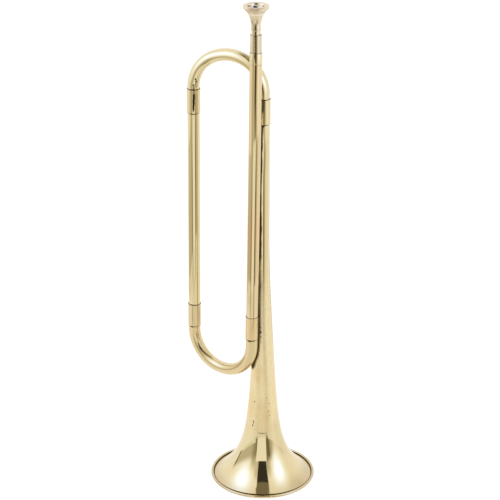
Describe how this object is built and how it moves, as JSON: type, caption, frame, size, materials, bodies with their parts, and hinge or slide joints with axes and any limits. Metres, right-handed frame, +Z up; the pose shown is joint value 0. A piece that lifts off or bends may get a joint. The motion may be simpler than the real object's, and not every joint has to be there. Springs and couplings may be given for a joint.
{
  "type": "bugle",
  "caption": "Natural brass bugle standing on its bell: one upright loop of ferruled tubing, a flaring bell with a rolled rim, and a mouthpiece that lifts out of its receiver.",
  "frame": {"origin": "middle of the bell's mouth, in the plane that the rim stands on", "axes": "+Z up along the bell's axis to the mouthpiece; -Y is the side that the leadpipe is on; -X points to the loop's return tube"},
  "size_m": [0.1391, 0.1144, 0.54],
  "materials": {
    "tube_brass": "polished, worn lacquer",
    "bright_brass": "polished, fine turned rings",
    "mouthpiece_brass": "polished",
    "satin_brass": "satin, lightly pitted",
    "bell_brass": "mirror polished",
    "wire_brass": "drawn wire, hidden in the bead",
    "solder": "dull soft solder"
  },
  "bodies": {
    "horn": {"mouthpiece_receiver": "bright_brass", "receiver_collar": "bright_brass", "leadpipe": "tube_brass", "lead_ferrule": "tube_brass", "lower_bow": "tube_brass", "return_low_ferrule": "tube_brass", "return_tube": "tube_brass", "return_high_ferrule": "tube_brass", "upper_bow": "tube_brass", "bell_ferrule": "tube_brass", "bell_stem": "satin_brass", "bell_flare": "bell_brass", "rim_wire": "wire_brass", "upper_brace": "solder", "lower_brace": "solder"},
    "mouthpiece": {"mouthpiece": "mouthpiece_brass"}
  },
  "joints": [
    {"name": "mouthpiece_slide", "type": "slide", "parent": "horn", "child": "mouthpiece", "axis": [0, 0, 1], "range_m": [0, 0.06]}
  ]
}
